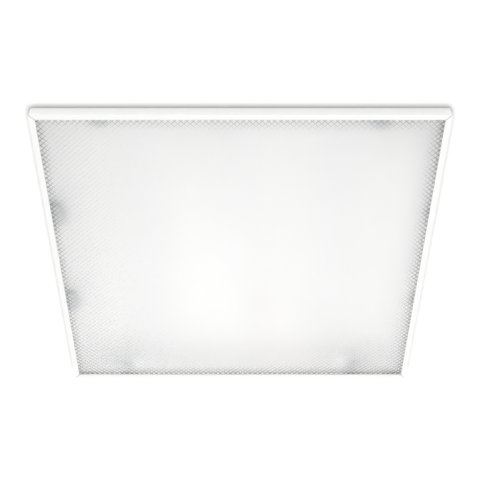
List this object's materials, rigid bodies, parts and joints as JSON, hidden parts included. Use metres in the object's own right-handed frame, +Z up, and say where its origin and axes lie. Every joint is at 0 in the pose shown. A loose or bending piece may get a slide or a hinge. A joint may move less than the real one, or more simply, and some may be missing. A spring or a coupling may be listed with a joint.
{
  "type": "recessed troffer light",
  "caption": "Square recessed ceiling troffer with a hinged prismatic door, folded steel housing, light strips, gear box with driver and swing-out ceiling clamps.",
  "frame": {"origin": "centre of the door frame's lower face", "axes": "+Z up into the ceiling void, +X towards the door's hinges, -Y towards the mains cable entry"},
  "size_m": [0.595, 0.595, 0.1144],
  "materials": {
    "white_powder_coat": "satin",
    "white_pre_coat": "matt",
    "galvanised_steel": "spangled",
    "zinc_plated_steel": "bright zinc",
    "spring_steel": "satin",
    "prismatic_polystyrene": "pressed prisms",
    "white_solder_mask": "solder mask",
    "phosphor_resin": "cast",
    "white_nylon": "moulded",
    "driver_steel": "satin",
    "grey_polyamide": "moulded",
    "orange_polyamide": "moulded",
    "black_rubber": "moulded",
    "brass": "turned"
  },
  "bodies": {
    "housing": {"housing_pan": "white_pre_coat", "end_plate_rear": "white_pre_coat", "end_plate_front": "white_pre_coat", "gear_box": "galvanised_steel", "clamp_brackets": "galvanised_steel", "hinge_brackets": "zinc_plated_steel", "bracket_rivets": "zinc_plated_steel", "housing_rivets": "zinc_plated_steel", "strip_screws": "zinc_plated_steel", "gear_screws": "zinc_plated_steel", "lid_pins": "zinc_plated_steel", "driver_screws": "zinc_plated_steel", "lever_pin": "zinc_plated_steel", "cord_clamp_screws": "zinc_plated_steel", "catch_springs": "spring_steel", "led_strip_1": "white_solder_mask", "led_strip_2": "white_solder_mask", "led_strip_3": "white_solder_mask", "led_strip_4": "white_solder_mask", "led_chips": "phosphor_resin", "strip_connectors": "white_nylon", "cord_clamp_base": "white_nylon", "cord_clamp_bar": "white_nylon", "driver_case": "driver_steel", "driver_cover": "driver_steel", "terminal_block": "grey_polyamide", "cable_grommet": "black_rubber", "lead_grommet": "black_rubber", "earth_stud": "brass"},
    "door": {"frame_rail_hinge": "white_powder_coat", "frame_rail_rear": "white_powder_coat", "frame_rail_catch": "white_powder_coat", "frame_rail_front": "white_powder_coat", "corner_keys": "galvanised_steel", "lens": "prismatic_polystyrene", "lens_clips": "spring_steel", "hinge_leaves": "zinc_plated_steel", "hinge_pins": "zinc_plated_steel", "catch_blades": "zinc_plated_steel"},
    "gear_lid": {"gear_lid": "galvanised_steel"},
    "lid_latch": {"lid_latch": "zinc_plated_steel"},
    "terminal_lever_1": {"terminal_lever_1": "orange_polyamide"},
    "terminal_lever_2": {"terminal_lever_2": "orange_polyamide"},
    "terminal_lever_3": {"terminal_lever_3": "orange_polyamide"},
    "clamp_screw_1": {"clamp_screw_1": "zinc_plated_steel"},
    "clamp_nut_1": {"clamp_nut_1": "zinc_plated_steel"},
    "clamp_arm_1": {"clamp_arm_1": "zinc_plated_steel"},
    "clamp_screw_2": {"clamp_screw_2": "zinc_plated_steel"},
    "clamp_nut_2": {"clamp_nut_2": "zinc_plated_steel"},
    "clamp_arm_2": {"clamp_arm_2": "zinc_plated_steel"},
    "clamp_screw_3": {"clamp_screw_3": "zinc_plated_steel"},
    "clamp_nut_3": {"clamp_nut_3": "zinc_plated_steel"},
    "clamp_arm_3": {"clamp_arm_3": "zinc_plated_steel"},
    "clamp_screw_4": {"clamp_screw_4": "zinc_plated_steel"},
    "clamp_nut_4": {"clamp_nut_4": "zinc_plated_steel"},
    "clamp_arm_4": {"clamp_arm_4": "zinc_plated_steel"}
  },
  "joints": [
    {"name": "door_swing", "type": "hinge", "parent": "housing", "child": "door", "pos_m": [0.295, 0, 0.009], "axis": [0, -1, 0], "range_deg": [0, 90]},
    {"name": "lid_swing", "type": "hinge", "parent": "housing", "child": "gear_lid", "pos_m": [-0.0576, 0, 0.109], "axis": [0, -1, 0], "range_deg": [0, 110]},
    {"name": "latch_turn", "type": "hinge", "parent": "gear_lid", "child": "lid_latch", "pos_m": [0.0475, 0, 0.1115], "axis": [0, 0, 1], "range_deg": [0, 90]},
    {"name": "lever_1_lift", "type": "hinge", "parent": "housing", "child": "terminal_lever_1", "pos_m": [0.0193, -0.094, 0.0886], "axis": [-1, 0, 0], "range_deg": [0, 85]},
    {"name": "lever_2_lift", "type": "hinge", "parent": "housing", "child": "terminal_lever_2", "pos_m": [0.028, -0.094, 0.0886], "axis": [-1, 0, 0], "range_deg": [0, 85]},
    {"name": "lever_3_lift", "type": "hinge", "parent": "housing", "child": "terminal_lever_3", "pos_m": [0.0367, -0.094, 0.0886], "axis": [-1, 0, 0], "range_deg": [0, 85]},
    {"name": "clamp_screw_1_turn", "type": "hinge", "parent": "housing", "child": "clamp_screw_1", "pos_m": [-0.2, -0.272, 0.018], "axis": [0, 0, 1], "range_deg": [-30, 3240]},
    {"name": "clamp_nut_1_slide", "type": "slide", "parent": "housing", "child": "clamp_nut_1", "axis": [0, 0, -1], "range_m": [0, 0.017]},
    {"name": "clamp_arm_1_swing", "type": "hinge", "parent": "clamp_nut_1", "child": "clamp_arm_1", "pos_m": [-0.2, -0.272, 0.046], "axis": [0, 0, -1], "range_deg": [0, 90]},
    {"name": "clamp_screw_2_turn", "type": "hinge", "parent": "housing", "child": "clamp_screw_2", "pos_m": [0.2, -0.272, 0.018], "axis": [0, 0, 1], "range_deg": [-30, 3240]},
    {"name": "clamp_nut_2_slide", "type": "slide", "parent": "housing", "child": "clamp_nut_2", "axis": [0, 0, -1], "range_m": [0, 0.017]},
    {"name": "clamp_arm_2_swing", "type": "hinge", "parent": "clamp_nut_2", "child": "clamp_arm_2", "pos_m": [0.2, -0.272, 0.046], "axis": [0, 0, 1], "range_deg": [0, 90]},
    {"name": "clamp_screw_3_turn", "type": "hinge", "parent": "housing", "child": "clamp_screw_3", "pos_m": [0.2, 0.272, 0.018], "axis": [0, 0, 1], "range_deg": [-30, 3240]},
    {"name": "clamp_nut_3_slide", "type": "slide", "parent": "housing", "child": "clamp_nut_3", "axis": [0, 0, -1], "range_m": [0, 0.017]},
    {"name": "clamp_arm_3_swing", "type": "hinge", "parent": "clamp_nut_3", "child": "clamp_arm_3", "pos_m": [0.2, 0.272, 0.046], "axis": [0, 0, -1], "range_deg": [0, 90]},
    {"name": "clamp_screw_4_turn", "type": "hinge", "parent": "housing", "child": "clamp_screw_4", "pos_m": [-0.2, 0.272, 0.018], "axis": [0, 0, 1], "range_deg": [-30, 3240]},
    {"name": "clamp_nut_4_slide", "type": "slide", "parent": "housing", "child": "clamp_nut_4", "axis": [0, 0, -1], "range_m": [0, 0.017]},
    {"name": "clamp_arm_4_swing", "type": "hinge", "parent": "clamp_nut_4", "child": "clamp_arm_4", "pos_m": [-0.2, 0.272, 0.046], "axis": [0, 0, 1], "range_deg": [0, 90]}
  ],
  "couplings": [
    {"joint": "clamp_screw_1_turn", "follows": "clamp_nut_1_slide", "rad_per_m": 3141.6},
    {"joint": "clamp_screw_2_turn", "follows": "clamp_nut_2_slide", "rad_per_m": 3141.6},
    {"joint": "clamp_screw_3_turn", "follows": "clamp_nut_3_slide", "rad_per_m": 3141.6},
    {"joint": "clamp_screw_4_turn", "follows": "clamp_nut_4_slide", "rad_per_m": 3141.6}
  ]
}
